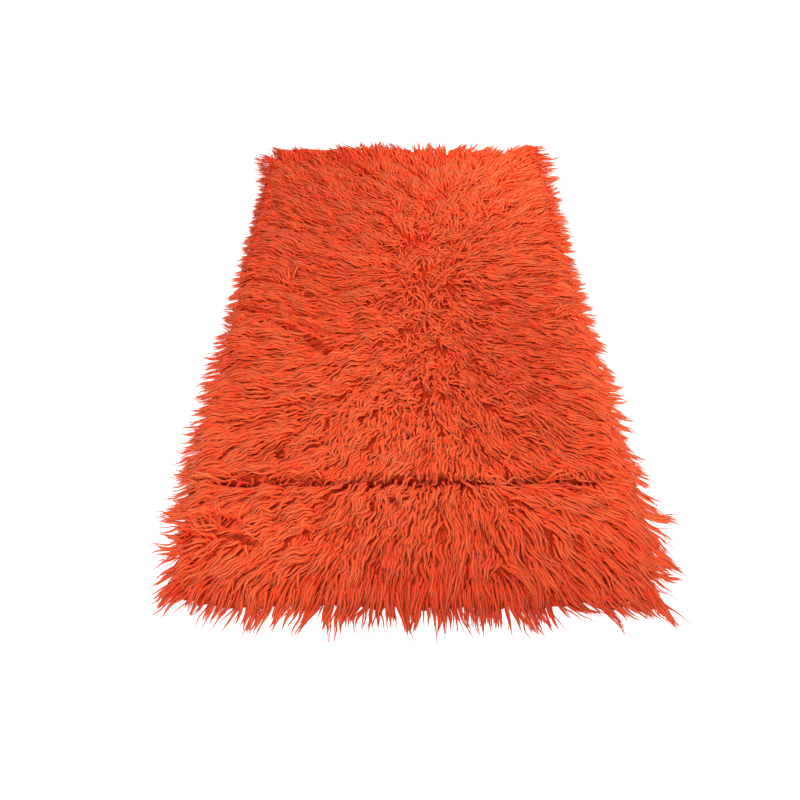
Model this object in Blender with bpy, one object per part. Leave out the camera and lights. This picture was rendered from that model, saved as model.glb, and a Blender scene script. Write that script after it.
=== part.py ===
# A long-pile wool rug, made as one piece: thick wool yarns woven into a flat ground cloth.
# The yarns lie down and fall away from a parting line, so the rug is a lumpy slab with a
# flat underside, and pointed locks of wool lie on the floor all round its rim.
# Lengths are in metres. +Y runs along the rug from its near end to its far end, +X to the
# right, +Z up. The origin is the middle of the underside.

import math
import random

import bmesh
import bpy
from mathutils import Vector, noise

# The woven ground, and how far the pile's thick mass reaches past it
GROUND_WIDTH = 0.92
GROUND_LENGTH = 1.54
SIDE_OVERHANG = 0.010
END_OVERHANG = 0.026
CORNER_RADIUS = 0.070

# The pile, lying down
PILE_HEIGHT = 0.040
RIM_HEIGHT = 0.013
ROLL_WIDTH = 0.075

# Relief of the pile's top
STREAK_DEPTH = 0.009
STREAK_CONTRAST = 4.0
STREAK_LENGTH = 0.150
STREAK_STEPS = 7
STREAK_PITCH = 0.045
SWELL_DEPTH = 0.010
SWELL_PITCH = 0.190

# Cells of the slab's top. Each cell on the rim grows one lock.
CELLS_ACROSS = 38
CELLS_ALONG = 64

# How the pile lies: its heading in degrees, 0 towards +X and 90 towards +Y, at six places
# across the rug, for each station along it from the near end
COMBING_ACROSS = (-0.46, -0.26, -0.05, 0.12, 0.26, 0.46)
COMBING = (
    # station, left edge, left, left of parting, on it, right, right edge
    (-0.80, (222, 242, 262, 272, 292, 318)),
    (-0.62, (196, 212, 246, 270, 305, 334)),
    (-0.40, (188, 202, 236, 278, 318, 340)),
    (-0.18, (184, 190, 205, 300, 336, 348)),
    (0.05, (176, 176, 186, 330, 350, 356)),
    (0.25, (164, 158, 162, 40, 12, 4)),
    (0.45, (156, 144, 142, 100, 52, 24)),
    (0.80, (138, 124, 108, 94, 82, 62)),
)

# How much further out the mass and its locks reach than the plain rectangle, at even
# stations along each side, from the near end or from the left
SWELL_LEFT = (0.000, 0.010, 0.018, 0.010, 0.008, -0.006, -0.008, -0.004, -0.004)
SWELL_RIGHT = (0.006, 0.010, -0.002, -0.006, -0.004, -0.002, -0.002, 0.010, 0.000)
SWELL_NEAR = (0.000, 0.000, 0.006, 0.004, 0.002, 0.000)
SWELL_FAR = (-0.002, 0.012, 0.014, -0.006, 0.010, 0.002, -0.010)

# Marks left by storage, where the pile parts over a fold in the ground
FOLDS = (
    # place along the rug, depth, half width
    {"y": -0.530, "depth": 0.020, "half": 0.013},
    {"y": 0.000, "depth": 0.006, "half": 0.020},
)
HOLLOWS = (
    # middle, radius and depth of each place where the pile has opened
    {"x": -0.400, "y": -0.650, "radius": 0.034, "depth": 0.014},
    {"x": -0.225, "y": -0.085, "radius": 0.034, "depth": 0.012},
    {"x": 0.105, "y": 0.065, "radius": 0.030, "depth": 0.010},
    {"x": 0.105, "y": 0.175, "radius": 0.026, "depth": 0.008},
)

# The rim's locks: how far they reach, and their sections from root to tip
SIDE_REACH = 0.040
END_REACH = 0.055
REACH_SPREAD = 0.55
HEADING_SPREAD = 7.0
CURL = 9.0
LOCK_SECTIONS = (
    # share of the reach, share of the root's width, height
    {"at": 0.42, "width": 0.64, "height": 0.010},
    {"at": 0.76, "width": 0.36, "height": 0.006},
)
TIP_HEIGHT = 0.0015
LONG_LOCKS = (
    # the few wisps that stand out furthest: where on the rim, and how much longer
    {"x": -0.20, "y": 0.80, "times": 1.35},
    {"x": -0.38, "y": 0.80, "times": 1.20},
    {"x": -0.48, "y": -0.04, "times": 1.30},
    {"x": -0.48, "y": -0.47, "times": 1.20},
    {"x": 0.48, "y": -0.19, "times": 1.55},
    {"x": 0.48, "y": -0.34, "times": 1.55},
    {"x": 0.48, "y": -0.66, "times": 1.25},
    {"x": -0.31, "y": -0.80, "times": 1.30},
    {"x": 0.17, "y": -0.80, "times": 1.20},
)
LONG_LOCK_SPAN = 0.022

WOOL_COLOUR = (0.72, 0.085, 0.030, 1.0)
WOOL_ROUGHNESS = 0.92
SEED = 7

HALF_WIDTH = GROUND_WIDTH / 2 + SIDE_OVERHANG
HALF_LENGTH = GROUND_LENGTH / 2 + END_OVERHANG


def eased(values, share):
    """Value at a share from 0 to 1 along evenly spaced values, with smooth turns."""
    place = min(max(share, 0.0), 1.0) * (len(values) - 1)
    first = min(int(place), len(values) - 2)
    part = place - first
    part = part * part * (3 - 2 * part)
    return values[first] * (1 - part) + values[first + 1] * part


def unit(degrees):
    """Unit vector with this heading."""
    return Vector((math.cos(math.radians(degrees)), math.sin(math.radians(degrees))))


def across(headings, x):
    """Mean lie of the pile at x, from one station's headings. It is short near a parting."""
    last = len(COMBING_ACROSS) - 2
    column = max((i for i in range(last + 1) if COMBING_ACROSS[i] <= x), default=0)
    start, end = COMBING_ACROSS[column], COMBING_ACROSS[column + 1]
    part = min(max((x - start) / (end - start), 0.0), 1.0)
    return unit(headings[column]).lerp(unit(headings[column + 1]), part)


def lie(x, y):
    """How the pile lies at a place: its heading, longer where it is well combed."""
    last = len(COMBING) - 2
    row = max((i for i in range(last + 1) if COMBING[i][0] <= y), default=0)
    (start, near), (end, far) = COMBING[row], COMBING[row + 1]
    part = min(max((y - start) / (end - start), 0.0), 1.0)
    return across(near, x).lerp(across(far, x), part)


def rim_swell(x, y):
    """How far the outline is pushed out at a place, across and along."""
    share_along = (y / HALF_LENGTH + 1) / 2
    share_across = (x / HALF_WIDTH + 1) / 2
    side = SWELL_RIGHT if x > 0 else SWELL_LEFT
    end = SWELL_FAR if y > 0 else SWELL_NEAR
    out_x = math.copysign(eased(side, share_along), x) * abs(x) / HALF_WIDTH
    out_y = math.copysign(eased(end, share_across), y) * abs(y) / HALF_LENGTH
    return out_x, out_y


def rounded(x, y):
    """A place in the plain rectangle, moved so that the rectangle's corners are round."""
    over_x = abs(x) - (HALF_WIDTH - CORNER_RADIUS)
    over_y = abs(y) - (HALF_LENGTH - CORNER_RADIUS)
    if over_x <= 0 or over_y <= 0:
        return x, y
    scale = max(over_x, over_y) / math.hypot(over_x, over_y)
    new_x = HALF_WIDTH - CORNER_RADIUS + over_x * scale
    new_y = HALF_LENGTH - CORNER_RADIUS + over_y * scale
    return math.copysign(new_x, x), math.copysign(new_y, y)


def streaks(x, y):
    """Ridges and furrows along the lie of the pile, from -1 to 1: a soft noise, averaged
    along the way the locks run."""
    total = 0.0
    for way in (1, -1):
        place = Vector((x, y))
        for _ in range(STREAK_STEPS // 2):
            heading = lie(place.x, place.y)
            if heading.length > 1e-6:
                place += heading.normalized() * way * STREAK_LENGTH / STREAK_STEPS
            total += noise.noise(Vector((place.x, place.y, 0.0)) / STREAK_PITCH)
    total += noise.noise(Vector((x, y, 0.0)) / STREAK_PITCH)
    return math.tanh(total / STREAK_STEPS * STREAK_CONTRAST)


def pile_top(x, y, inside):
    """Height of the pile at a place that lies this far inside the rim."""
    share = min(inside / ROLL_WIDTH, 1.0)
    roll = math.sqrt(1 - (1 - share) ** 2)
    swell = noise.noise(Vector((x, y, 3.1)) / SWELL_PITCH) * SWELL_DEPTH
    relief = swell + streaks(x, y) * STREAK_DEPTH
    for fold in FOLDS:
        across_fold = (y - fold["y"]) / fold["half"]
        relief -= fold["depth"] * math.exp(-across_fold * across_fold)
    for hollow in HOLLOWS:
        away = math.hypot(x - hollow["x"], y - hollow["y"]) / hollow["radius"]
        relief -= hollow["depth"] * math.exp(-away * away)
    return RIM_HEIGHT + (PILE_HEIGHT - RIM_HEIGHT + relief) * roll


def stations_along():
    """Places of the grid's rows along the rug: even, but drawn in beside the deep fold, so
    that its trough has a row at its bottom and one on each shoulder."""
    step = 2 * HALF_LENGTH / CELLS_ALONG
    rows = [-HALF_LENGTH + step * i for i in range(CELLS_ALONG + 1)]
    fold = FOLDS[0]
    bottom = min(range(len(rows)), key=lambda i: abs(rows[i] - fold["y"]))
    for offset in (-2, -1, 0, 1, 2):
        rows[bottom + offset] = fold["y"] + offset * fold["half"] * 1.15
    return rows


def lumpy_slab():
    """The pile's closed mass: a grid thickened from the floor up to the pile's top."""
    mesh = bmesh.new()
    bmesh.ops.create_grid(mesh, x_segments=CELLS_ACROSS, y_segments=CELLS_ALONG, size=1.0)
    rows = stations_along()
    for vertex in mesh.verts:
        x = vertex.co.x * HALF_WIDTH
        y = rows[round((vertex.co.y + 1) / 2 * CELLS_ALONG)]
        inside = min(HALF_WIDTH - abs(x), HALF_LENGTH - abs(y))
        x, y = rounded(x, y)
        out_x, out_y = rim_swell(x, y)
        vertex.co = (x + out_x, y + out_y, pile_top(x, y, inside))
    raised = bmesh.ops.extrude_face_region(mesh, geom=mesh.faces[:])
    for item in raised["geom"]:
        if isinstance(item, bmesh.types.BMVert):
            item.co.z = 0.0
    bmesh.ops.recalc_face_normals(mesh, faces=mesh.faces[:])
    return mesh


def long_lock(x, y):
    """How many times longer than usual a lock is here."""
    times = 1.0
    for lock in LONG_LOCKS:
        away = math.hypot(x - lock["x"], y - lock["y"]) / LONG_LOCK_SPAN
        times = max(times, 1 + (lock["times"] - 1) * math.exp(-away * away))
    return times


def grow_lock(mesh, wall, chance):
    """Grows one pointed, four-sided lock out of a face of the slab's rim."""
    middle = wall.calc_center_median()
    outward = Vector((wall.normal.x, wall.normal.y)).normalized()
    heading = lie(middle.x, middle.y).normalized()
    heading = (heading + outward * 0.6).normalized()
    turn = math.radians(chance.uniform(-HEADING_SPREAD, HEADING_SPREAD))
    heading = Vector((heading.x * math.cos(turn) - heading.y * math.sin(turn),
                      heading.x * math.sin(turn) + heading.y * math.cos(turn)))
    end_share = abs(outward.y)
    reach = SIDE_REACH + (END_REACH - SIDE_REACH) * end_share
    reach *= 1 + REACH_SPREAD * chance.uniform(-0.5, 0.5)
    reach *= long_lock(middle.x, middle.y) / max(heading.dot(outward), 0.6)
    curl = math.radians(chance.uniform(-CURL, CURL))
    roots = [corner.co.copy() for corner in wall.verts]
    face = wall
    for number, section in enumerate(LOCK_SECTIONS, start=1):
        grown = bmesh.ops.extrude_discrete_faces(mesh, faces=[face])
        face = grown["faces"][0]
        bend = curl * number
        way = Vector((heading.x * math.cos(bend) - heading.y * math.sin(bend),
                      heading.x * math.sin(bend) + heading.y * math.cos(bend)))
        centre = Vector((middle.x, middle.y)) + way * reach * section["at"]
        for corner, root in zip(face.verts, roots):
            side = (Vector((root.x, root.y)) - Vector((middle.x, middle.y))) * section["width"]
            height = section["height"] if root.z > 0 else 0.0
            corner.co = (centre.x + side.x, centre.y + side.y, height)
    tip = Vector((middle.x, middle.y)) + way * reach
    grown = bmesh.ops.extrude_discrete_faces(mesh, faces=[face])
    corners = list(grown["faces"][0].verts)
    bmesh.ops.pointmerge(mesh, verts=corners, merge_co=(tip.x, tip.y, TIP_HEIGHT))


def wool():
    """Rough orange-red wool."""
    material = bpy.data.materials.new("orange_red_wool")
    material.use_nodes = True
    shader = material.node_tree.nodes["Principled BSDF"]
    shader.inputs["Base Color"].default_value = WOOL_COLOUR
    shader.inputs["Roughness"].default_value = WOOL_ROUGHNESS
    shader.inputs["Metallic"].default_value = 0.0
    material.diffuse_color = WOOL_COLOUR
    return material


def shag_rug(collection):
    """The whole rug, one closed solid."""
    mesh = lumpy_slab()
    chance = random.Random(SEED)
    walls = [face for face in mesh.faces if abs(face.normal.z) < 0.5 and face.calc_area() > 0
             and min(corner.co.z for corner in face.verts) == 0.0]
    walls.sort(key=lambda face: math.atan2(face.calc_center_median().y,
                                           face.calc_center_median().x))
    for wall in walls:
        grow_lock(mesh, wall, chance)
    data = bpy.data.meshes.new("shag_rug")
    mesh.to_mesh(data)
    mesh.free()
    data.materials.append(wool())
    data.shade_smooth()
    data.set_sharp_from_angle(angle=math.radians(50))
    rug = bpy.data.objects.new("shag_rug", data)
    collection.objects.link(rug)


def main():
    for item in list(bpy.data.objects):
        bpy.data.objects.remove(item, do_unlink=True)
    collection = bpy.data.collections.new("Rug")
    bpy.context.scene.collection.children.link(collection)
    shag_rug(collection)


main()
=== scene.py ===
import math

import bmesh
import bpy
import numpy as np
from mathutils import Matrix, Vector
from mathutils.bvhtree import BVHTree


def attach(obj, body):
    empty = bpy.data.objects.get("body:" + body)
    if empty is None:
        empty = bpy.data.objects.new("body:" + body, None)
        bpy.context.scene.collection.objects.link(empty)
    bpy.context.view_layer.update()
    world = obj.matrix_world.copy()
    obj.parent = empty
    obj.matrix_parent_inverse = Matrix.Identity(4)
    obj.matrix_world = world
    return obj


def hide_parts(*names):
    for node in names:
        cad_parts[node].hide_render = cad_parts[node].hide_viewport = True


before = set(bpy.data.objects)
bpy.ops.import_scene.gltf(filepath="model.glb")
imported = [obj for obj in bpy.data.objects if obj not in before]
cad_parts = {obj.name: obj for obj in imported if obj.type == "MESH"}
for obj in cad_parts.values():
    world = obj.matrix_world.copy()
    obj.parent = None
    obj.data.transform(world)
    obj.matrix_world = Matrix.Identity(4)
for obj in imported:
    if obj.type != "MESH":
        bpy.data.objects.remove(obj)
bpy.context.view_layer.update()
print("frame loaded:", sorted(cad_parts))

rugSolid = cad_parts["shag_rug"]


# Node trees, written as sums

class Wire:
    # wraps a socket, so that a sum or product of sockets adds its own Math nodes
    def __init__(self, tree, socket):
        self.tree = tree
        self.socket = socket

    def out(self, name):
        # another output of the same node
        return Wire(self.tree, pickSocket(self.socket.node.outputs, name))

    def pair(self, operation, other, swapped=False):
        sides = (other, self) if swapped else (self, other)
        kind = "ShaderNodeMath"
        if any(isVector(side) for side in sides):
            kind = "ShaderNodeVectorMath"
            sides = [(side,) * 3 if isinstance(side, (int, float)) else side for side in sides]
        return addNode(self.tree, kind, {"operation": operation}, {0: sides[0], 1: sides[1]})

    def __add__(self, other):
        return self.pair("ADD", other)

    def __radd__(self, other):
        return self.pair("ADD", other, True)

    def __sub__(self, other):
        return self.pair("SUBTRACT", other)

    def __rsub__(self, other):
        return self.pair("SUBTRACT", other, True)

    def __mul__(self, other):
        return self.pair("MULTIPLY", other)

    def __rmul__(self, other):
        return self.pair("MULTIPLY", other, True)

    def __truediv__(self, other):
        return self.pair("DIVIDE", other)

    def __rtruediv__(self, other):
        return self.pair("DIVIDE", other, True)

    def __pow__(self, other):
        return self.pair("POWER", other)

    def __gt__(self, other):
        return self.pair("GREATER_THAN", other)

    def __lt__(self, other):
        return self.pair("LESS_THAN", other)


def isVector(value):
    if isinstance(value, Wire):
        return value.socket.type in ("VECTOR", "RGBA")
    return isinstance(value, (tuple, list, Vector))


def pickSocket(sockets, name):
    # by name or place, among the sockets that this node has switched on
    shown = [socket for socket in sockets if socket.enabled]
    if isinstance(name, int):
        return shown[name]
    return next(socket for socket in shown if socket.name == name)


def addNode(tree, kind, settings=None, values=None):
    # a node with its settings, then the values or links of its sockets; gives its first output
    node = tree.nodes.new(kind)
    for name, value in (settings or {}).items():
        setattr(node, name, value)
    for name, value in (values or {}).items():
        socket = pickSocket(node.inputs, name)
        if isinstance(value, Wire):
            tree.links.new(value.socket, socket)
        else:
            socket.default_value = value
    return Wire(tree, pickSocket(node.outputs, 0)) if node.outputs else node


def partsOf(tree, value):
    return addNode(tree, "ShaderNodeSeparateXYZ", {}, {0: value})


def vectorOf(tree, x, y, z):
    return addNode(tree, "ShaderNodeCombineXYZ", {}, {0: x, 1: y, 2: z})


# The camera and the light

view = {
    "place": (-0.0265, -1.191, 1.151),
    "looksDown": 51.96,       # degrees below level
    "turnsRight": 0.227,
    "lens": 27.0,             # mm, on a sensor 36 mm wide
}


def standCamera():
    data = bpy.data.cameras.new("viewCamera")
    data.sensor_width = 36.0
    data.lens = view["lens"]
    camera = bpy.data.objects.new("viewCamera", data)
    camera.location = view["place"]
    tilt = math.radians(90 - view["looksDown"])
    camera.rotation_euler = (tilt, 0.0, -math.radians(view["turnsRight"]))
    bpy.context.scene.collection.objects.link(camera)
    bpy.context.scene.camera = camera


studio = {
    "skyStrength": 0.67,
    "lamps": (
        # place, what it looks at, size, watts, colour
        {"name": "keyLamp", "at": (1.0, 2.0, 2.0), "to": (0.15, 0.2, 0.0), "size": 2.4,
         "watts": 48.0, "colour": (1.0, 0.985, 0.96)},
        {"name": "frontLamp", "at": (-0.35, -2.0, 2.9), "to": (0.0, 0.2, 0.0), "size": 3.2,
         "watts": 104.0, "colour": (1.0, 0.99, 0.98)},
    ),
    "floorSize": 14.0,
    "floorColour": (0.95, 0.95, 0.95, 1.0),
    "floorGlow": 0.36,        # keeps the shadow round the rug faint
}


def lightStudio():
    world = bpy.data.worlds.new("softSky")
    bpy.context.scene.world = world
    world.use_nodes = True
    sky = world.node_tree.nodes["Background"]
    sky.inputs["Color"].default_value = (1.0, 1.0, 1.0, 1.0)
    sky.inputs["Strength"].default_value = studio["skyStrength"]
    for lamp in studio["lamps"]:
        data = bpy.data.lights.new(lamp["name"], "AREA")
        data.shape = "DISK"
        data.size = lamp["size"]
        data.energy = lamp["watts"]
        data.color = lamp["colour"]
        item = bpy.data.objects.new(lamp["name"], data)
        item.location = lamp["at"]
        way = Vector(lamp["to"]) - Vector(lamp["at"])
        item.rotation_euler = way.to_track_quat("-Z", "Y").to_euler()
        bpy.context.scene.collection.objects.link(item)
    bpy.ops.mesh.primitive_plane_add(size=studio["floorSize"], location=(0, 0, -0.0005))
    floor = bpy.context.object
    floor.name = "paleFloor"
    paint = bpy.data.materials.new("palePaint")
    paint.use_nodes = True
    shader = paint.node_tree.nodes["Principled BSDF"]
    shader.inputs["Base Color"].default_value = studio["floorColour"]
    shader.inputs["Roughness"].default_value = 0.9
    shader.inputs["Specular IOR Level"].default_value = 0.1
    shader.inputs["Emission Color"].default_value = (1.0, 1.0, 1.0, 1.0)
    shader.inputs["Emission Strength"].default_value = studio["floorGlow"]
    floor.data.materials.append(paint)
    bpy.context.scene.view_settings.view_transform = "Standard"


standCamera()
lightStudio()
print("camera and studio set")


# How the pile lies. Headings are degrees, 0 towards +X and 90 towards +Y.

combing = {
    "across": (-0.46, -0.26, -0.05, 0.12, 0.26, 0.46),
    "stations": (
        # place along the rug, then headings at the six places across it
        {"y": -0.80, "headings": (222, 242, 262, 272, 292, 318)},
        {"y": -0.62, "headings": (196, 212, 246, 270, 305, 334)},
        {"y": -0.40, "headings": (188, 202, 236, 278, 318, 340)},
        {"y": -0.18, "headings": (184, 190, 205, 300, 336, 348)},
        {"y": 0.05, "headings": (176, 176, 186, 330, 350, 356)},
        {"y": 0.25, "headings": (164, 158, 162, 40, 12, 4)},
        {"y": 0.45, "headings": (158, 145, 142, 100, 52, 22)},
        {"y": 0.66, "headings": (148, 132, 122, 96, 66, 30)},
        {"y": 0.80, "headings": (136, 122, 108, 96, 80, 50)},
    ),
    "chartCells": (92, 154),  # cells of the chart that carries these headings
    "spreadLength": 0.09,     # pile that runs apart over less than this is laid anyhow
    "turns": (
        # soft spots where the pile is combed aside, by this many degrees
        {"x": -0.41, "y": -0.620, "across": 0.060, "along": 0.022, "by": -42},
        {"x": -0.36, "y": -0.680, "across": 0.060, "along": 0.030, "by": 12},
        {"x": -0.37, "y": -0.015, "across": 0.070, "along": 0.030, "by": -24},
        {"x": -0.30, "y": 0.120, "across": 0.050, "along": 0.025, "by": -20},
        {"x": -0.24, "y": -0.060, "across": 0.040, "along": 0.022, "by": -26},
        {"x": -0.22, "y": -0.130, "across": 0.030, "along": 0.035, "by": 44},
        {"x": 0.38, "y": 0.000, "across": 0.090, "along": 0.040, "by": 30},
        {"x": -0.13, "y": -0.400, "across": 0.100, "along": 0.100, "by": 22},
        {"x": -0.28, "y": -0.505, "across": 0.200, "along": 0.022, "by": -16},
        {"x": 0.26, "y": -0.505, "across": 0.160, "along": 0.022, "by": 24},
    ),
    "curls": (
        # where the pile is short and curly
        {"x": 0.02, "y": -0.36, "across": 0.26, "along": 0.17, "by": 0.90},
        {"x": 0.06, "y": -0.05, "across": 0.17, "along": 0.22, "by": 0.95},
        {"x": 0.08, "y": 0.27, "across": 0.15, "along": 0.16, "by": 0.95},
        {"x": -0.02, "y": -0.62, "across": 0.22, "along": 0.09, "by": 0.55},
        {"x": -0.22, "y": -0.62, "across": 0.07, "along": 0.05, "by": 0.60},
    ),
    "lifts": (
        # where it stands higher, in metres
        {"x": 0.00, "y": 0.780, "across": 0.90, "along": 0.060, "by": 0.023},
        {"x": -0.16, "y": 0.765, "across": 0.05, "along": 0.040, "by": 0.004},
        {"x": 0.43, "y": 0.760, "across": 0.07, "along": 0.050, "by": 0.018},
        {"x": -0.43, "y": 0.760, "across": 0.06, "along": 0.050, "by": 0.012},
        {"x": 0.14, "y": -0.500, "across": 0.20, "along": 0.020, "by": 0.006},
        {"x": -0.26, "y": -0.500, "across": 0.20, "along": 0.018, "by": 0.005},
    ),
    "reaches": (
        # where the yarns reach less or more far, as a share
        {"x": -0.50, "y": 0.40, "across": 0.10, "along": 0.36, "by": -0.46},
        {"x": -0.50, "y": 0.02, "across": 0.10, "along": 0.20, "by": -0.24},
        {"x": -0.50, "y": -0.31, "across": 0.10, "along": 0.07, "by": -0.14},
        {"x": -0.50, "y": -0.71, "across": 0.10, "along": 0.04, "by": -0.20},
        {"x": 0.50, "y": 0.20, "across": 0.12, "along": 0.34, "by": -0.36},
        {"x": 0.50, "y": -0.39, "across": 0.10, "along": 0.035, "by": -0.34},
        {"x": 0.50, "y": -0.60, "across": 0.10, "along": 0.11, "by": 0.44},
        {"x": 0.50, "y": -0.75, "across": 0.10, "along": 0.05, "by": 0.06},
        {"x": 0.00, "y": 0.80, "across": 0.60, "along": 0.07, "by": 0.78},
        {"x": 0.46, "y": 0.77, "across": 0.10, "along": 0.07, "by": 0.05},
        {"x": -0.46, "y": 0.77, "across": 0.10, "along": 0.07, "by": 0.08},
        {"x": -0.41, "y": -0.78, "across": 0.11, "along": 0.07, "by": -0.30},
        {"x": 0.00, "y": -0.80, "across": 0.60, "along": 0.06, "by": 0.08},
    ),
    "paintedLightSpots": (
        # painted light and shade: where the way it lies is painted lighter or darker for how the light falls on it,
        # as a share
        {"x": -0.26, "y": 0.46, "across": 0.26, "along": 0.42, "by": -0.18},
        {"x": 0.22, "y": -0.05, "across": 0.20, "along": 0.26, "by": -0.11},
        {"x": 0.36, "y": 0.70, "across": 0.24, "along": 0.34, "by": 0.74},
        {"x": 0.16, "y": -0.78, "across": 0.30, "along": 0.12, "by": -0.24},
        {"x": 0.00, "y": -0.86, "across": 0.90, "along": 0.13, "by": -0.46},
        {"x": -0.10, "y": -0.40, "across": 0.26, "along": 0.10, "by": 0.12},
        {"x": -0.10, "y": -0.18, "across": 0.15, "along": 0.13, "by": 0.16},
        {"x": -0.26, "y": -0.66, "across": 0.16, "along": 0.09, "by": 0.30},
        {"x": -0.07, "y": -0.67, "across": 0.14, "along": 0.06, "by": -0.08},
        {"x": 0.08, "y": -0.50, "across": 0.20, "along": 0.020, "by": 0.14},
        {"x": 0.00, "y": 0.30, "across": 0.12, "along": 0.30, "by": 0.08},
        {"x": 0.49, "y": -0.10, "across": 0.08, "along": 0.36, "by": 0.56},
        {"x": 0.25, "y": -0.30, "across": 0.18, "along": 0.26, "by": -0.18},
    ),
}

partings = {
    "open": (
        # long narrow places where the locks part and show the depth of the pile
        {"x": -0.377, "y": -0.630, "heading": 158, "half": 0.036, "width": 0.012},
        {"x": -0.335, "y": -0.668, "heading": 160, "half": 0.032, "width": 0.007},
        {"x": -0.458, "y": -0.659, "heading": 142, "half": 0.014, "width": 0.012},
        {"x": -0.379, "y": -0.541, "heading": 174, "half": 0.048, "width": 0.009},
        {"x": -0.290, "y": -0.538, "heading": 176, "half": 0.042, "width": 0.007},
        {"x": -0.200, "y": -0.535, "heading": 4, "half": 0.038, "width": 0.009},
        {"x": -0.289, "y": -0.464, "heading": 104, "half": 0.018, "width": 0.009},
        {"x": -0.082, "y": -0.594, "heading": 95, "half": 0.014, "width": 0.006},
        {"x": -0.041, "y": -0.581, "heading": 126, "half": 0.012, "width": 0.006},
        {"x": -0.245, "y": -0.120, "heading": 138, "half": 0.034, "width": 0.013},
        {"x": -0.205, "y": -0.150, "heading": 60, "half": 0.020, "width": 0.010},
        {"x": -0.320, "y": -0.070, "heading": 160, "half": 0.030, "width": 0.008},
        {"x": -0.420, "y": 0.000, "heading": 165, "half": 0.060, "width": 0.008},
        {"x": -0.290, "y": -0.022, "heading": 165, "half": 0.045, "width": 0.007},
        {"x": -0.288, "y": 0.591, "heading": 150, "half": 0.034, "width": 0.006},
        {"x": -0.200, "y": 0.600, "heading": 152, "half": 0.040, "width": 0.006},
        {"x": -0.147, "y": 0.670, "heading": 136, "half": 0.050, "width": 0.007},
        {"x": 0.011, "y": 0.667, "heading": 129, "half": 0.032, "width": 0.006},
        {"x": 0.061, "y": 0.640, "heading": 122, "half": 0.036, "width": 0.006},
        {"x": 0.116, "y": 0.538, "heading": 118, "half": 0.040, "width": 0.006},
        {"x": 0.230, "y": 0.020, "heading": 172, "half": 0.035, "width": 0.006},
        {"x": 0.342, "y": -0.556, "heading": 148, "half": 0.026, "width": 0.009},
    ),
    "slitPaintedShade": 0.40,         # painted shade: how much darker the depth of the pile is painted there, and in the deep fold
}

folds = {
    "deep": -0.525,           # place along the rug of the deep fold
    "bends": (
        # where it wanders from that line, in metres
        {"x": 0.05, "across": 0.09, "by": 0.008},
        {"x": -0.24, "across": 0.15, "by": -0.007},
    ),
    "waver": 0.0022,
    "waverPitch": 0.060,
    "overhang": 0.011,        # how far the pile beyond it leans over it
    "bare": 0.004,            # width of the strip of the fold that bears no yarn
    "fill": 0.010,            # how much higher the near pile stands in it than the solid does
}


def foldAt(x):
    # the deep fold's place along the rug, at a place across it
    line = folds["deep"] + folds["waver"] * math.sin(x / folds["waverPitch"] * math.tau)
    return line + sum(bend["by"] * math.exp(-((x - bend["x"]) / bend["across"]) ** 2)
                      for bend in folds["bends"])


def headingVector(degrees):
    return Vector((math.cos(math.radians(degrees)), math.sin(math.radians(degrees))))


def shareBetween(low, high, value):
    return min(max((value - low) / (high - low), 0.0), 1.0)


def lieAcross(headings, x):
    places = combing["across"]
    column = max((i for i in range(len(places) - 1) if places[i] <= x), default=0)
    part = shareBetween(places[column], places[column + 1], x)
    return headingVector(headings[column]).lerp(headingVector(headings[column + 1]), part)


def spotsAt(spots, x, y):
    # sum of soft round or oval spots
    total = 0.0
    for spot in spots:
        away = ((x - spot["x"]) / spot["across"]) ** 2 + ((y - spot["y"]) / spot["along"]) ** 2
        total += spot["by"] * math.exp(-away)
    return total


def lieAt(x, y):
    # mean heading, as a vector that is short where the pile parts
    stations = combing["stations"]
    row = max((i for i in range(len(stations) - 1) if stations[i]["y"] <= y), default=0)
    near, far = stations[row], stations[row + 1]
    part = shareBetween(near["y"], far["y"], y)
    way = lieAcross(near["headings"], x).lerp(lieAcross(far["headings"], x), part)
    turn = math.radians(spotsAt(combing["turns"], x, y))
    return Vector((way.x * math.cos(turn) - way.y * math.sin(turn),
                   way.x * math.sin(turn) + way.y * math.cos(turn)))


cloth = {
    "width": 0.92,
    "length": 1.54,
    "thick": 0.0026,
    "yarnPitch": 0.0032,      # of the plain weave
}


def combingChart():
    # a plain grid over the ground cloth, whose points know how the pile lies there
    cellsAcross, cellsAlong = combing["chartCells"]
    bpy.ops.mesh.primitive_grid_add(x_subdivisions=cellsAcross, y_subdivisions=cellsAlong, size=1.0)
    chart = bpy.context.object
    chart.name = "combingChart"
    lies = []
    habits = []
    for point in chart.data.vertices:
        x = point.co.x * cloth["width"]
        y = point.co.y * cloth["length"]
        point.co = (x, y, 0.0)
        way = lieAt(x, y)
        lies.append((way.x, way.y, 0.0))
        habits.append((min(spotsAt(combing["curls"], x, y), 1.0), spotsAt(combing["lifts"], x, y),
                       1 + spotsAt(combing["reaches"], x, y)))
    lies = np.array(lies)
    places = np.array([point.co for point in chart.data.vertices])
    values = {"lie": lies, "habit": np.array(habits)}
    paintedLightSpots = [spotsAt(combing["paintedLightSpots"], point[0], point[1]) for point in places]
    for name, value in values.items():
        item = chart.data.attributes.new(name, "FLOAT_VECTOR", "POINT")
        item.data.foreach_set("vector", value.ravel())
    for name, value in {"parted": spreading(places, lies), "tone": np.array(paintedLightSpots)}.items():
        item = chart.data.attributes.new(name, "FLOAT", "POINT")
        item.data.foreach_set("value", value)
    return chart


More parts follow.
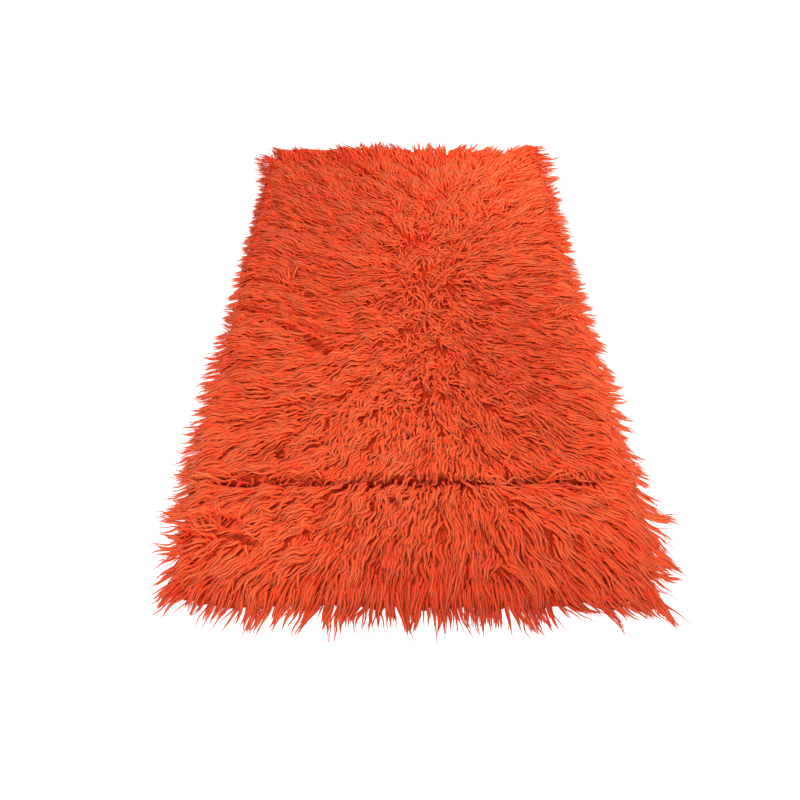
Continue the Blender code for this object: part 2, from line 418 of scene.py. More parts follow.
def spreading(places, lies):
    # 0 where neighbours lie alike, up to 1 where they run apart and would leave the cloth bare
    order = np.lexsort((places[:, 0], places[:, 1]))
    shape = (combing["chartCells"][1] + 1, combing["chartCells"][0] + 1)
    if len(order) != shape[0] * shape[1]:
        shape = (shape[0] - 1, shape[1] - 1)
    ways = (lies / np.linalg.norm(lies, axis=1, keepdims=True))[order].reshape(*shape, 3)
    cellAcross = cloth["width"] / (shape[1] - 1)
    cellAlong = cloth["length"] / (shape[0] - 1)
    apart = np.gradient(ways[..., 0], cellAcross, axis=1) + np.gradient(ways[..., 1], cellAlong, axis=0)
    share = np.clip(apart * combing["spreadLength"], 0.0, 1.0)
    for _ in range(3):
        share[1:-1, 1:-1] = (share[1:-1, 1:-1] * 2 + share[:-2, 1:-1] + share[2:, 1:-1]
                             + share[1:-1, :-2] + share[1:-1, 2:]) / 6
    result = np.zeros(len(order))
    result[order] = share.ravel()
    return result


# The wool

wool = {
    # the colours along a yarn: painted shade at its root, deep in the pile, then its body and its tip
    "deep": (0.89, 0.037, 0.007, 1.0),
    "body": (0.86, 0.084, 0.024, 1.0),
    "tip": (0.83, 0.121, 0.045, 1.0),
    "bodyAt": 0.36,
    "redKept": 0.88,          # share of the red that the fine shade (fibres, random tones and painted shade) doesn't touch
    "redKeptBroadly": 0.50,   # and the broad painted light and shade
    "patchSize": 0.16,
    "fibres": 2.2,            # fineness of the fibres across a yarn
    "fibreShade": 2.0,
    "fibreRelief": 0.0005,
    "edgePaintedShade": 0.40,        # painted shade: how much darker a yarn is at its two edges
    "deeperPaintedShade": 16.0,       # painted shade where it lies deeper, for each metre
    "roughness": 0.85,
}


def attribute(tree, name, kind):
    # a value stored on the yarns, for a material
    return addNode(tree, "ShaderNodeAttribute", {"attribute_name": name}).out(kind)


def toned(tree, colour, shade, kept):
    # darker or lighter wool, whose red changes less than its green and blue
    red = shade * (1 - kept) + kept
    return colour * vectorOf(tree, red, shade, shade)


def woolMaterial():
    material = bpy.data.materials.new("orangeRedWool")
    material.use_nodes = True
    tree = material.node_tree
    shader = tree.nodes["Principled BSDF"]
    along = attribute(tree, "along", "Fac")
    chance = attribute(tree, "chance", "Vector")
    girth = partsOf(tree, attribute(tree, "girth", "Vector"))
    ownShade = partsOf(tree, chance)
    place = addNode(tree, "ShaderNodeTexCoord").out("Object")
    patches = addNode(tree, "ShaderNodeTexNoise", {},
                      {"Vector": place, "Scale": 1 / wool["patchSize"], "Detail": 2.0})
    fibrePlace = vectorOf(tree, girth * wool["fibres"], along * 1.8, 0.0) + chance * 60.0
    fibres = addNode(tree, "ShaderNodeTexNoise", {}, {"Vector": fibrePlace, "Scale": 1.0, "Detail": 1.0})
    # painted shade towards the root, where the yarn goes down into the pile
    ramp = addNode(tree, "ShaderNodeValToRGB", {}, {0: along})
    stops = ramp.socket.node.color_ramp.elements
    stops[0].color = wool["deep"]
    stops[1].color = wool["tip"]
    middle = stops.new(wool["bodyAt"])
    middle.color = wool["body"]
    # painted light and shade over the rug, from the combing chart
    tone = 1 + attribute(tree, "tone", "Fac")
    # painted shade in the partings, with the lock's tone and its painted shade where it lies deeper
    lockTone = attribute(tree, "lockTone", "Fac") - attribute(tree, "open", "Fac") * partings["slitPaintedShade"]
    # painted shade along a yarn's two edges, beside the gaps between yarns
    edge = addNode(tree, "ShaderNodeMath", {"operation": "ABSOLUTE"}, {0: girth})
    shade = 1.08 + 0.20 * ownShade + (patches - 0.5) * 0.25 + (fibres - 0.5) * wool["fibreShade"]
    shade = shade - edge * wool["edgePaintedShade"] + lockTone
    colour = toned(tree, toned(tree, ramp, shade, wool["redKept"]), tone, wool["redKeptBroadly"])
    tree.links.new(colour.socket, shader.inputs["Base Color"])
    bump = addNode(tree, "ShaderNodeBump", {},
                   {"Height": fibres, "Distance": wool["fibreRelief"], "Strength": 1.0})
    tree.links.new(bump.socket, shader.inputs["Normal"])
    shader.inputs["Roughness"].default_value = wool["roughness"]
    shader.inputs["Specular IOR Level"].default_value = 0.12
    shader.inputs["Sheen Weight"].default_value = 0.10
    shader.inputs["Sheen Roughness"].default_value = 0.5
    shader.inputs["Sheen Tint"].default_value = (1.0, 0.35, 0.18, 1.0)
    return material


woolFinish = woolMaterial()


# The yarns

pile = {
    "yarnGap": 0.0076,        # least distance between two roots
    "lockGap": 0.030,         # between the middles of two locks
    "length": 0.074,          # as it lies
    "lengthSpread": 0.35,
    "width": 0.0086,
    "flatness": 0.32,         # thickness as a share of the width
    "points": (11, 12, 12, 11, 9, 8),   # along a yarn, from the near piece to the far one
    "spacing": 0.75,          # under 1: the points stand closer together towards its tip
    "sides": 3,
    "lockTurn": 11.0,         # degrees by which a whole lock may lie aside
    "sway": 1.5,              # slow bends that neighbours share
    "swaySize": 0.07,
    "waveLength": 0.036,      # of the waves that a lock's yarns share
    "waveLengthLess": 0.008,  # and how much less where the pile is curly
    "waves": 0.12,            # how steep they are
    "wavesMore": 0.36,        # and how much more so where the pile is curly
    "crimp": 0.8,             # uneven small bends
    "crimpMore": 1.2,
    "crimpSize": 0.018,
    "curl": 0.6,              # each yarn's own bends
    "curlMore": 0.8,
    "gather": 0.16,           # how close a lock's tips come together
    "gatherRim": 0.12,        # and how much closer at the rim
    "spreadRim": 0.15,        # how much more their lengths differ there
    "rimWidth": 0.050,
    "widenRim": -0.14,        # how much wider a yarn is there
    "riseBy": 0.24,           # share of a yarn by which it has come up to the top
    "sink": 0.0035,            # how deep in the pile some yarns lie
    "lockSink": 0.0065,        # and some whole locks
    "lockShade": 0.22,        # how much locks differ in tone
    "highest": 0.061,         # no yarn stands above this
    "dome": 0.003,            # how much lower a lock's outer yarns lie
    "slitSink": 0.010,        # how much lower the pile lies where the locks part
    "taper": 0.55,            # share of a yarn over which it thins to its tip
    "taperRim": 0.20,         # and how much less that is at the rim
    "rootHeight": 0.002,
    "rimHeight": 0.005,       # least height at which a yarn leaves the cloth at the rim
    "seed": 11,
}
strands = {
    "yarnGap": 0.0080,        # the same for the thin strands that stray over the locks
    "length": 0.084,
    "stray": 1.8,             # how much more each one bends its own way
    "width": 0.0040,
    "points": (12, 12),
    "inside": 0.04,           # how many grow away from the rim, as a share
    "seed": 23,
}


def treeInput(tree, name, kind):
    return tree.interface.new_socket(name=name, in_out="INPUT", socket_type=kind)


def stored(tree, name, kind):
    # reads a value kept on the yarns
    return addNode(tree, "GeometryNodeInputNamedAttribute", {"data_type": kind}, {"Name": name})


def keep(tree, geometry, name, kind, value):
    return addNode(tree, "GeometryNodeStoreNamedAttribute", {"data_type": kind, "domain": "POINT"},
                   {"Geometry": geometry, "Name": name, "Value": value})


def scatter(tree, chart, gap, seed, share=1.0):
    # evenly spread places on the chart, no two nearer than the gap
    return addNode(tree, "GeometryNodeDistributePointsOnFaces", {"distribute_method": "POISSON"},
                   {"Mesh": chart, "Distance Min": gap, "Density Max": 2.5 / (gap * gap),
                    "Density Factor": share, "Seed": seed})


def turned(tree, value, angle):
    return addNode(tree, "ShaderNodeVectorRotate", {"rotation_type": "Z_AXIS"},
                   {"Vector": value, "Angle": angle})


def mathNode(tree, operation, *values):
    return addNode(tree, "ShaderNodeMath", {"operation": operation}, dict(enumerate(values)))


def sampled(tree, points, value, number):
    return addNode(tree, "GeometryNodeSampleIndex", {"data_type": "FLOAT_VECTOR", "domain": "POINT"},
                   {"Geometry": points, "Value": value, "Index": number})


def centredNoise(tree, place, size, detail=1.0):
    colour = addNode(tree, "ShaderNodeTexNoise", {},
                     {"Vector": place, "Scale": 1 / size, "Detail": detail}).out("Color")
    return colour - (0.5, 0.5, 0.5)


def smallest(tree, first, second):
    return mathNode(tree, "MINIMUM", first, second)


def largest(tree, first, second):
    return mathNode(tree, "MAXIMUM", first, second)


def lengthOf(tree, value):
    return addNode(tree, "ShaderNodeVectorMath", {"operation": "LENGTH"}, {0: value})


def dotOf(tree, first, second):
    return addNode(tree, "ShaderNodeVectorMath", {"operation": "DOT_PRODUCT"}, {0: first, 1: second})


def unitVector(tree, value):
    return addNode(tree, "ShaderNodeVectorMath", {"operation": "NORMALIZE"}, {0: value})


def foldLineAt(tree, x):
    # the same line as foldAt gives
    line = folds["deep"] + mathNode(tree, "SINE", x * (math.tau / folds["waverPitch"])) * folds["waver"]
    for bend in folds["bends"]:
        away = (x - bend["x"]) / bend["across"]
        line = line + mathNode(tree, "EXPONENT", away * away * -1.0) * bend["by"]
    return line


def bowedRound(tree, spot, parting):
    # pushes a place away from the long axis of a parting, and says how near the axis it was
    way = headingVector(parting["heading"])
    away = spot - (parting["x"], parting["y"], 0.0)
    lengthwise = dotOf(tree, away, (way.x, way.y, 0.0)) / parting["half"]
    sidewise = dotOf(tree, away, (-way.y, way.x, 0.0)) / parting["width"]
    nearness = mathNode(tree, "EXPONENT", (lengthwise * lengthwise + sidewise * sidewise) * -1.0)
    side = mathNode(tree, "SIGN", sidewise)
    push = side * nearness * (parting["width"] * 0.75)
    return spot + vectorOf(tree, push * -way.y, push * way.x, 0.0), nearness


def yarnTree():
    tree = bpy.data.node_groups.new("growYarns", "GeometryNodeTree")
    tree.is_modifier = True
    tree.interface.new_socket(name="Geometry", in_out="OUTPUT", socket_type="NodeSocketGeometry")
    sockets = {
        "chart": treeInput(tree, "Combing chart", "NodeSocketGeometry"),
        "solid": treeInput(tree, "Solid below the yarns", "NodeSocketObject"),
        "gap": treeInput(tree, "Yarn gap", "NodeSocketFloat"),
        "lockGap": treeInput(tree, "Lock gap", "NodeSocketFloat"),
        "inside": treeInput(tree, "Share away from the rim", "NodeSocketFloat"),
        "length": treeInput(tree, "Yarn length", "NodeSocketFloat"),
        "stray": treeInput(tree, "Own bends", "NodeSocketFloat"),
        "width": treeInput(tree, "Yarn width", "NodeSocketFloat"),
        "points": treeInput(tree, "Points along a yarn", "NodeSocketInt"),
        "bands": treeInput(tree, "Bands", "NodeSocketInt"),
        "band": treeInput(tree, "Band", "NodeSocketInt"),
        "seed": treeInput(tree, "Seed", "NodeSocketInt"),
    }
    entry = addNode(tree, "NodeGroupInput")
    read = {key: entry.out(item.name) for key, item in sockets.items()}

    # the roots of one band, and the middle of each root's lock
    place = addNode(tree, "GeometryNodeInputPosition")
    placeX = partsOf(tree, place)
    placeY = placeX.out("Y")
    inFromSide = cloth["width"] / 2 - mathNode(tree, "ABSOLUTE", placeX)
    inFromEnd = cloth["length"] / 2 - mathNode(tree, "ABSOLUTE", placeY)
    rim = smallest(tree, inFromSide, inFromEnd) < pile["rimWidth"]
    share = read["inside"] + (1 - read["inside"]) * rim
    roots = scatter(tree, read["chart"], read["gap"], read["seed"], share)
    locks = scatter(tree, read["chart"], read["lockGap"], pile["seed"] + 1)
    bandPlace = (placeY / cloth["length"] + 0.5) * read["bands"]
    otherBand = mathNode(tree, "ABSOLUTE", mathNode(tree, "FLOOR", bandPlace) - read["band"]) > 0.5
    foldLine = foldLineAt(tree, placeX)
    inFold = mathNode(tree, "ABSOLUTE", placeY - foldLine) < folds["bare"] / 2
    roots = addNode(tree, "GeometryNodeDeleteGeometry", {"domain": "POINT"},
                    {"Geometry": roots, "Selection": otherBand + inFold})
    nearest = addNode(tree, "GeometryNodeSampleNearest", {"domain": "POINT"}, {"Geometry": locks})
    lockDraw = addNode(tree, "FunctionNodeRandomValue", {"data_type": "FLOAT_VECTOR"},
                       {"Seed": pile["seed"] + 3})
    draw = addNode(tree, "FunctionNodeRandomValue", {"data_type": "FLOAT_VECTOR"},
                   {"Seed": read["seed"] + 2})
    roots = keep(tree, roots, "root", "FLOAT_VECTOR", place)
    roots = keep(tree, roots, "rim", "FLOAT", rim)
    roots = keep(tree, roots, "lockMiddle", "FLOAT_VECTOR", sampled(tree, locks, place, nearest))
    lockLie = sampled(tree, locks, stored(tree, "lie", "FLOAT_VECTOR"), nearest)
    roots = keep(tree, roots, "lockLie", "FLOAT_VECTOR", lockLie)
    roots = keep(tree, roots, "lockChance", "FLOAT_VECTOR", sampled(tree, locks, lockDraw, nearest))
    roots = keep(tree, roots, "chance", "FLOAT_VECTOR", draw)
    roots = keep(tree, roots, "yarn", "INT", addNode(tree, "GeometryNodeInputIndex"))

    # one straight yarn on each root, to be bent below
    straight = addNode(tree, "GeometryNodeCurvePrimitiveLine")
    straight = addNode(tree, "GeometryNodeResampleCurve", {}, {"Curve": straight, "Count": read["points"]})
    yarns = addNode(tree, "GeometryNodeInstanceOnPoints", {}, {"Points": roots, "Instance": straight})
    yarns = addNode(tree, "GeometryNodeRealizeInstances", {}, {"Geometry": yarns})
    evenly = addNode(tree, "GeometryNodeSplineParameter")
    nextStep = (evenly + 1.0 / (read["points"] - 1)) ** pile["spacing"] - evenly ** pile["spacing"]
    yarns = keep(tree, yarns, "nextStep", "FLOAT", nextStep)
    yarns = keep(tree, yarns, "along", "FLOAT", evenly ** pile["spacing"])
    nextStep = stored(tree, "nextStep", "FLOAT")

    # its way over the rug: the lie of the pile, with waves
    along = stored(tree, "along", "FLOAT")
    root = stored(tree, "root", "FLOAT_VECTOR")
    chance = stored(tree, "chance", "FLOAT_VECTOR")
    chanceX = partsOf(tree, chance)
    chanceY = chanceX.out("Y")
    chanceZ = chanceX.out("Z")
    lockMiddle = stored(tree, "lockMiddle", "FLOAT_VECTOR")
    lockChance = stored(tree, "lockChance", "FLOAT_VECTOR")
    lockChanceX = partsOf(tree, lockChance)
    lockChanceY = lockChanceX.out("Y")
    lockChanceZ = lockChanceX.out("Z")
    curly = partsOf(tree, stored(tree, "habit", "FLOAT_VECTOR"))
    lift = curly.out("Y")
    reach = curly.out("Z")

    # where the pile runs apart, each lock chooses a way of its own
    parted = stored(tree, "parted", "FLOAT")
    rim = stored(tree, "rim", "FLOAT")
    anyhow = (lockChance - (0.5, 0.5, 0.5)) * 3.2 + (chance - (0.5, 0.5, 0.5)) * 2.0
    stray = anyhow * (1.0, 1.0, 0.0) * parted
    spread = pile["lengthSpread"] + pile["spreadRim"] * rim
    length = read["length"] * (1 + spread * (chanceX - 0.5 - 0.03 * rim))
    length = length * reach * (1 - 0.12 * curly)
    lockWay = unitVector(tree, stored(tree, "lockLie", "FLOAT_VECTOR") + stray)
    rootWay = unitVector(tree, stored(tree, "lie", "FLOAT_VECTOR") + stray)

    # beyond the deep fold a yarn ends over it, and stands the higher for that; short of it
    # the yarns come up at once
    rootX = partsOf(tree, root)
    fromFold = rootX.out("Y") - foldLineAt(tree, rootX)
    beyond = fromFold > 0.0
    towards = largest(tree, -1.0 * partsOf(tree, rootWay).out("Y"), 0.22)
    room = (fromFold + folds["overhang"]) / towards
    share = smallest(tree, largest(tree, room / length, 0.32), 1.0)
    share = 1 - (1 - share) * beyond
    lift = lift + (1 - share) * 0.009
    length = length * share
    shortOf = fromFold / 0.022
    steepen = mathNode(tree, "EXPONENT", shortOf * shortOf * -1.0) * (1 - beyond)
    riseBy = pile["riseBy"] * (1 - 0.5 * parted) * (1 - 0.5 * steepen)

    guess = root + rootWay * (along * length * 0.8)
    lieHere = addNode(tree, "GeometryNodeSampleNearestSurface", {"data_type": "FLOAT_VECTOR"},
                      {"Mesh": read["chart"], "Value": stored(tree, "lie", "FLOAT_VECTOR"),
                       "Sample Position": guess})
    sway = centredNoise(tree, guess, pile["swaySize"])
    crimp = centredNoise(tree, guess + (3.0, 7.0, 0.0), pile["crimpSize"])
    ownPlace = chance * 40.0 + vectorOf(tree, along * 3.0, 0.0, 0.0)
    own = centredNoise(tree, ownPlace, 1.0)
    travelled = dotOf(tree, guess - lockMiddle, lockWay)
    waveLength = (pile["waveLength"] - pile["waveLengthLess"] * curly) * (0.8 + 0.4 * lockChanceY)
    phase = (travelled / waveLength + lockChanceX) * math.tau
    phase = phase + chanceY * 0.9
    steep = (pile["waves"] + pile["wavesMore"] * curly) * (0.5 + lockChanceY)
    way = unitVector(tree, lieHere * (1 - parted) + rootWay * (0.5 + parted))
    way = turned(tree, way, (lockChanceZ - 0.5) * math.radians(2 * pile["lockTurn"]) * (1 + curly))
    sideways = turned(tree, way, math.radians(90))
    way = way + sideways * (mathNode(tree, "SINE", phase) * steep) + sway * pile["sway"]
    way = way + crimp * (pile["crimp"] + pile["crimpMore"] * curly)
    way = way + own * (read["stray"] * (pile["curl"] + pile["curlMore"] * curly))
    way = unitVector(tree, way * (1.0, 1.0, 0.0))
    walked = addNode(tree, "GeometryNodeAccumulateField", {"data_type": "FLOAT_VECTOR"},
                     {"Value": way * (length * nextStep), "Group ID": stored(tree, "yarn", "INT")}).out("Trailing")
    gather = along ** 1.5 * (pile["gather"] + pile["gatherRim"] * rim)
    fromLock = lockMiddle - root
    spot = root + walked + fromLock * gather
    openHere = 0.0
    for parting in partings["open"]:
        spot, nearness = bowedRound(tree, spot, parting)
        openHere = nearness + openHere
    openHere = smallest(tree, openHere, 1.0)
    spotX = partsOf(tree, spot)
    spotY = spotX.out("Y")

    # its height: up out of the ground, then on top of the solid
    hit = addNode(tree, "GeometryNodeRaycast", {},
                  {"Target Geometry": addNode(tree, "GeometryNodeObjectInfo", {}, {0: read["solid"]}).out("Geometry"),
                   "Source Position": vectorOf(tree, spotX, spotY, 0.2),
                   "Ray Direction": (0.0, 0.0, -1.0), "Ray Length": 0.3})
    top = partsOf(tree, hit.out("Hit Position")).out("Z") * hit
    top = addNode(tree, "GeometryNodeBlurAttribute", {"data_type": "FLOAT"}, {"Value": top, "Iterations": 2})
    rise = smallest(tree, along / riseBy, 1.0)
    rise = rise * (2 - rise)
    outward = lengthOf(tree, fromLock) / (pile["lockGap"] / 2)
    lower = chanceZ * pile["sink"] + lockChanceZ * pile["lockSink"] + outward * outward * pile["dome"]
    wavy = mathNode(tree, "SINE", phase + 1.2) * (0.0006 + 0.0016 * curly)
    wavy = wavy + partsOf(tree, own).out("Z") * (0.006 + 0.010 * curly)
    inFoldHere = (spotY - foldLineAt(tree, spotX)) / 0.012
    fill = mathNode(tree, "EXPONENT", inFoldHere * inFoldHere * -1.0) * (1 - beyond) * folds["fill"]
    lower = lower + openHere * pile["slitSink"] - fill
    height = pile["rootHeight"] + (top - pile["rootHeight"]) * rise + (lift + wavy - lower) * rise
    taper = (pile["taper"] - pile["taperRim"] * rim) * (0.4 + 0.6 * share)
    thickness = smallest(tree, 0.60 + along * 1.3, 1.0) * smallest(tree, (1 - along) / taper, 1.0)
    girth = read["width"] / 2 * (1 + pile["widenRim"] * rim) * (0.75 + 0.5 * chanceY)
    girth = girth * (1 + rootX.out("Y") * 0.16)
    radius = girth * thickness + 0.0003
    lowest = radius * pile["flatness"] + (1 - along) * rise * pile["rimHeight"]
    height = smallest(tree, largest(tree, height, lowest), pile["highest"] - radius)
    # nearness to a parting, for the painted shade there
    yarns = keep(tree, yarns, "open", "FLOAT", openHere)
    # a lock's own tone at random, with painted shade on the yarns that lie deeper
    lockTone = (lockChanceY - 0.5) * pile["lockShade"]
    lockTone = lockTone + (0.006 - lower) * wool["deeperPaintedShade"]
    yarns = keep(tree, yarns, "lockTone", "FLOAT", lockTone)
    yarns = addNode(tree, "GeometryNodeSetPosition", {},
                    {"Geometry": yarns, "Position": vectorOf(tree, spotX, spotY, height)})
    yarns = addNode(tree, "GeometryNodeSetCurveRadius", {}, {"Curve": yarns, "Radius": radius})
    yarns = addNode(tree, "GeometryNodeSetCurveNormal", {"mode": "Z_UP"}, {"Curve": yarns})

    # its three-sided body, flat below and ridged above
    ring = addNode(tree, "GeometryNodeCurvePrimitiveCircle", {}, {"Resolution": pile["sides"], "Radius": 1.0})
    ring = addNode(tree, "GeometryNodeTransform", {},
                   {"Geometry": ring, "Rotation": (0.0, 0.0, math.radians(90))})
    ring = addNode(tree, "GeometryNodeTransform", {}, {"Geometry": ring, "Scale": (1.0, pile["flatness"], 1.0)})
    ring = keep(tree, ring, "girth", "FLOAT_VECTOR", place)
    bodies = addNode(tree, "GeometryNodeCurveToMesh", {},
                     {"Curve": yarns, "Profile Curve": ring, "Scale": radius, "Fill Caps": True})
    bodies = addNode(tree, "GeometryNodeSetShadeSmooth", {}, {"Geometry": bodies, "Shade Smooth": True})
    bodies = addNode(tree, "GeometryNodeRealizeInstances", {}, {"Geometry": bodies})
    bodies = addNode(tree, "GeometryNodeSetMaterial", {}, {"Geometry": bodies, "Material": woolFinish})
    leave = tree.nodes.new("NodeGroupOutput")
    tree.links.new(bodies.socket, leave.inputs[0])
    return tree, {key: item.identifier for key, item in sockets.items()}


def mapYarns(mesh, points, sides):
    # a map that gives each yarn its own cell, its length across the cell and its girth up it
    count = len(mesh.vertices) // (points * sides)
    columns = max(1, round(math.sqrt(count / 4)))
    rows = math.ceil(count / columns)
    faces = len(mesh.polygons) // count
    corners = np.zeros(len(mesh.loops), int)
    mesh.loops.foreach_get("vertex_index", corners)
    starts = np.zeros(len(mesh.polygons), int)
    mesh.polygons.foreach_get("loop_start", starts)
    totals = np.zeros(len(mesh.polygons), int)
    mesh.polygons.foreach_get("loop_total", totals)
    face = np.repeat(np.arange(len(mesh.polygons)), totals)
    yarn = corners // (points * sides)
    ring = corners % (points * sides) // sides
    side = (corners % sides).astype(float)
    smallestSide = np.minimum.reduceat(side, starts)[face]
    largestSide = np.maximum.reduceat(side, starts)[face]
    side[(largestSide - smallestSide == sides - 1) & (side == 0) & (totals[face] == 4)] = sides
    along = (ring + 0.5 - 0.3 * (ring == 0) + 0.3 * (ring == points - 1)) / points
    around = side / sides
    cap = totals[face] == sides
    along[cap] = np.where(ring[cap] == 0, 0.04, 0.96) + (side[cap] == 1) * 0.03
    across = (yarn % columns + 0.04 + 0.92 * along) / columns
    up = (yarn // columns + 0.08 + 0.84 * around) / rows
    while mesh.uv_layers:
        mesh.uv_layers.remove(mesh.uv_layers[0])
    layer = mesh.uv_layers.new(name="OFBake")
    layer.data.foreach_set("uv", np.stack([across, up], 1).ravel())
    print("map of", count, "yarns,", faces, "faces each")


def growBand(tree, names, chart, name, kind, band):
    # one piece of the pile, as a plain mesh
    grower = bpy.data.objects.new("growing", chart.data.copy())
    bpy.context.scene.collection.objects.link(grower)
    modifier = grower.modifiers.new("yarns", "NODES")
    modifier.node_group = tree
    settings = {
        "solid": rugSolid,
        "gap": kind["yarnGap"],
        "lockGap": pile["lockGap"],
        "inside": kind.get("inside", 1.0),
        "length": kind["length"],
        "stray": kind.get("stray", 1.0),
        "width": kind["width"],
        "points": kind["points"][band],
        "bands": len(kind["points"]),
        "band": band,
        "seed": kind["seed"],
    }
    for key, value in settings.items():
        modifier[names[key]] = value
    seen = grower.evaluated_get(bpy.context.evaluated_depsgraph_get())
    mesh = bpy.data.meshes.new_from_object(seen)
    mesh.name = f"{name}_{band + 1}"
    mapYarns(mesh, kind["points"][band], pile["sides"])
    for name in ("UVMap", "root", "rim", "parted", "lockMiddle", "lockLie", "lockChance", "lie", "habit",
                 "yarn", "nextStep", "id"):
        if name in mesh.attributes:
            mesh.attributes.remove(mesh.attributes[name])
    piece = bpy.data.objects.new(mesh.name, mesh)
    bpy.context.scene.collection.objects.link(piece)
    bpy.data.objects.remove(grower)
    triangles = sum(len(face.vertices) - 2 for face in mesh.polygons)
    print("yarns of", piece.name, "triangles:", triangles)
    return piece


chart = combingChart()
growing, inputNames = yarnTree()
pilePieces = [growBand(growing, inputNames, chart, name, kind, band)
              for name, kind in (("pile", pile), ("strands", strands))
              for band in range(len(kind["points"]))]
bpy.data.objects.remove(chart)


# The close lower part of the pile, seen between the locks

depth = {
    "below": 0.018,           # how far under the top of the pile
    "sideOut": 0.006,         # how far it spills past the ground cloth's edges, at least
    "nearOut": 0.016,
    "farOut": 0.002,
    "lockOut": 0.020,         # and how much further in places
    "cornerRadius": 0.085,
    "rimWidth": 0.060,
    "rimHeight": 0.0014,
    "overCloth": 0.0030,
    "cells": (76, 112),
    "drawnIn": 0.6,           # how much closer its rows stand beside the deep fold
    "foldWidth": 0.008,
    "foldDepth": 0.006,       # how much lower it is in the partings
    "foldMore": 1.6,          # and how many times as much in the fold, where its painted shade is that much darker too
    # both colours are painted shade: darker than the yarns, for the shade between the locks
    "dark": (0.36, 0.018, 0.005, 1.0),
    "light": (0.70, 0.054, 0.016, 1.0),
    "streakWidth": 0.0036,
    "streakSteps": 5,         # to each side, along the lie
    "streakStep": 0.0024,
    "waver": 0.006,
}


def openness(x, y):
    # 1 in the partings and more in the deep fold, 0 away from them
    most = depth["foldMore"] * math.exp(-((y - foldAt(x) + 0.007) / depth["foldWidth"]) ** 2)
    for parting in partings["open"]:
        way = headingVector(parting["heading"])
        away = Vector((x - parting["x"], y - parting["y"]))
        lengthwise = away.dot(way) / parting["half"]
        sidewise = (away.y * way.x - away.x * way.y) / parting["width"]
        most = max(most, math.exp(-lengthwise * lengthwise - sidewise * sidewise))
    return most


def deepPile():
    solid = BVHTree.FromObject(rugSolid, bpy.context.evaluated_depsgraph_get())
    halfWidth = cloth["width"] / 2 + depth["sideOut"]
    radius = depth["cornerRadius"]
    mesh = bmesh.new()
    bmesh.ops.create_grid(mesh, x_segments=depth["cells"][0], y_segments=depth["cells"][1], size=1.0)
    for point in mesh.verts:
        outermost = point.is_boundary
        halfLength = cloth["length"] / 2 + depth["nearOut" if point.co.y < 0 else "farOut"]
        x = point.co.x * halfWidth
        y = point.co.y * halfLength
        y -= (y - folds["deep"]) * depth["drawnIn"] * math.exp(-((y - folds["deep"]) / 0.06) ** 2)
        share = min(min(halfWidth - abs(x), halfLength - abs(y)) / depth["rimWidth"], 1.0)
        overX = abs(x) - halfWidth + radius
        overY = abs(y) - halfLength + radius
        if overX > 0 and overY > 0:
            # rounds the corner
            scale = max(overX, overY) / math.hypot(overX, overY)
            x = math.copysign(halfWidth - radius + overX * scale, x)
            y = math.copysign(halfLength - radius + overY * scale, y)
        if outermost:
            # draws its edge out into points, the way the pile lies
            way = lieAt(x, y).normalized()
            out = depth["lockOut"] * (0.5 + 0.5 * math.sin(x * 240 + 7 * math.sin(y * 41)) *
                                      math.sin(y * 220 + 6 * math.sin(x * 37)))
            x += way.x * out
            y += way.y * out
        top = solid.ray_cast(Vector((x, y, 1.0)), Vector((0, 0, -1)))[0]
        top = top.z - depth["below"] + spotsAt(combing["lifts"], x, y) if top else 0.0
        top -= depth["foldDepth"] * openness(x, y)
        least = depth["rimHeight"] + depth["overCloth"] * min(share * 5, 1.0)
        point.co = (x, y, max(least, top * share * (2 - share)))
    rim = [edge for edge in mesh.edges if edge.is_boundary]
    walls = bmesh.ops.extrude_edge_only(mesh, edges=rim)
    foot = [item for item in walls["geom"] if isinstance(item, bmesh.types.BMEdge)]
    for item in walls["geom"]:
        if isinstance(item, bmesh.types.BMVert):
            item.co.z = 0.0006
    bmesh.ops.contextual_create(mesh, geom=foot)
    bmesh.ops.recalc_face_normals(mesh, faces=mesh.faces[:])
    data = bpy.data.meshes.new("pile_depth")
    mesh.to_mesh(data)
    mesh.free()
    # the way the pile lies, with its openness in z for the painted shade in the partings and the fold
    lies = data.attributes.new("lie", "FLOAT_VECTOR", "POINT")
    for number, point in enumerate(data.vertices):
        way = lieAt(point.co.x, point.co.y).normalized()
        lies.data[number].vector = (way.x, way.y, openness(point.co.x, point.co.y))
    data.shade_smooth()
    data.materials.append(depthMaterial())
    piece = bpy.data.objects.new("pile_depth", data)
    bpy.context.scene.collection.objects.link(piece)
    return piece


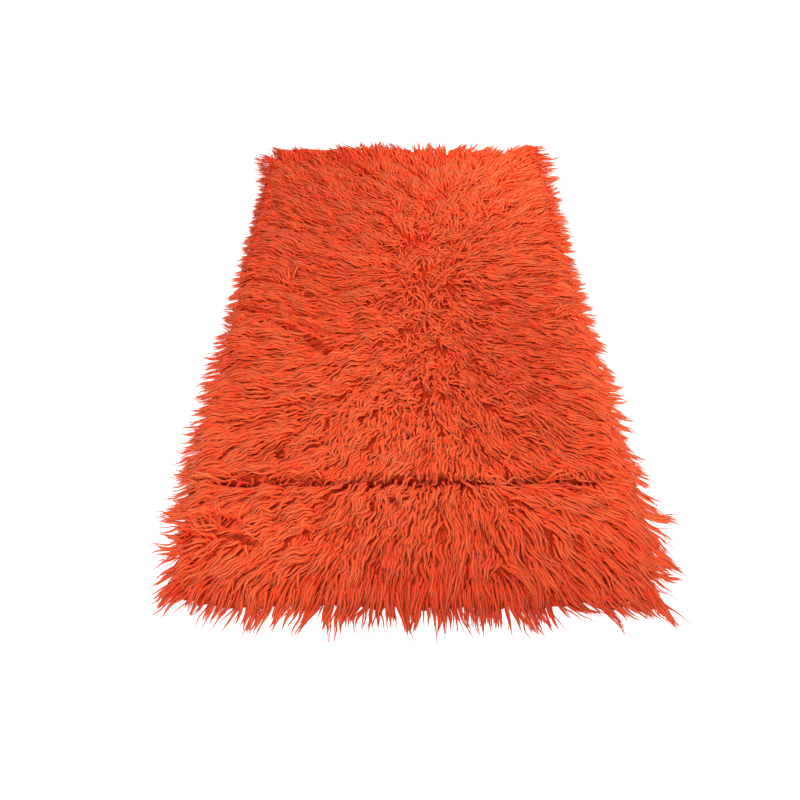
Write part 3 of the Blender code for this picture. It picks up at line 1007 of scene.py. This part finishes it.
def depthMaterial():
    material = bpy.data.materials.new("closeWool")
    material.use_nodes = True
    tree = material.node_tree
    shader = tree.nodes["Principled BSDF"]
    place = addNode(tree, "ShaderNodeTexCoord").out("Object")
    lie = attribute(tree, "lie", "Vector")
    waver = centredNoise(tree, place, 0.016) * depth["waver"]
    streaks = 0.0
    steps = depth["streakSteps"]
    for step in range(-steps, steps + 1):
        # a soft noise, averaged along the way the pile lies
        along = (place + waver) * (1.0, 1.0, 0.0) + lie * (1.0, 1.0, 0.0) * (step * depth["streakStep"])
        noise = addNode(tree, "ShaderNodeTexNoise", {},
                        {"Vector": along, "Scale": 1 / depth["streakWidth"], "Detail": 0.0})
        streaks = noise + streaks
    streaks = (streaks / (2 * steps + 1) - 0.5) * 6 + 0.5
    colour = addNode(tree, "ShaderNodeMix", {"data_type": "RGBA"},
                     {"Factor": streaks, "A": depth["dark"], "B": depth["light"]})
    # painted shade in the partings and, more so, in the deep fold
    shade = 1 - partsOf(tree, lie).out("Z") * partings["slitPaintedShade"]
    tree.links.new(toned(tree, colour, shade, 0.2).socket, shader.inputs["Base Color"])
    bump = addNode(tree, "ShaderNodeBump", {}, {"Height": streaks, "Distance": 0.0045, "Strength": 1.0})
    tree.links.new(bump.socket, shader.inputs["Normal"])
    shader.inputs["Roughness"].default_value = wool["roughness"]
    shader.inputs["Specular IOR Level"].default_value = 0.05
    return material


pileDepth = deepPile()
print("deep pile laid")


# The ground cloth

def weaveMaterial():
    material = bpy.data.materials.new("groundWeave")
    material.use_nodes = True
    tree = material.node_tree
    shader = tree.nodes["Principled BSDF"]
    place = addNode(tree, "ShaderNodeTexCoord").out("Object") * (math.pi / cloth["yarnPitch"])
    axes = partsOf(tree, place)
    warp = addNode(tree, "ShaderNodeMath", {"operation": "SINE"}, {0: axes})
    weft = addNode(tree, "ShaderNodeMath", {"operation": "SINE"}, {0: axes.out("Y")})
    weave = warp * weft * 0.5 + 0.5
    colour = addNode(tree, "ShaderNodeMix", {"data_type": "RGBA"},
                     {"Factor": weave, "A": (0.40, 0.055, 0.022, 1.0), "B": (0.66, 0.13, 0.055, 1.0)})
    tree.links.new(colour.socket, shader.inputs["Base Color"])
    bump = addNode(tree, "ShaderNodeBump", {}, {"Height": weave, "Distance": 0.0006, "Strength": 0.8})
    tree.links.new(bump.socket, shader.inputs["Normal"])
    shader.inputs["Roughness"].default_value = 0.9
    return material


def groundCloth():
    bpy.ops.mesh.primitive_grid_add(x_subdivisions=23, y_subdivisions=38, size=1.0)
    piece = bpy.context.object
    piece.name = "ground_cloth"
    for point in piece.data.vertices:
        point.co = (point.co.x * cloth["width"], point.co.y * cloth["length"], 0.0004)
    wall = piece.modifiers.new("thickness", "SOLIDIFY")
    wall.thickness = cloth["thick"]
    wall.offset = 1.0
    piece.data.materials.append(weaveMaterial())
    return piece


ground = groundCloth()
print("ground cloth laid")

for piece in [ground, pileDepth, *pilePieces]:
    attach(piece, "root")
    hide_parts("shag_rug")
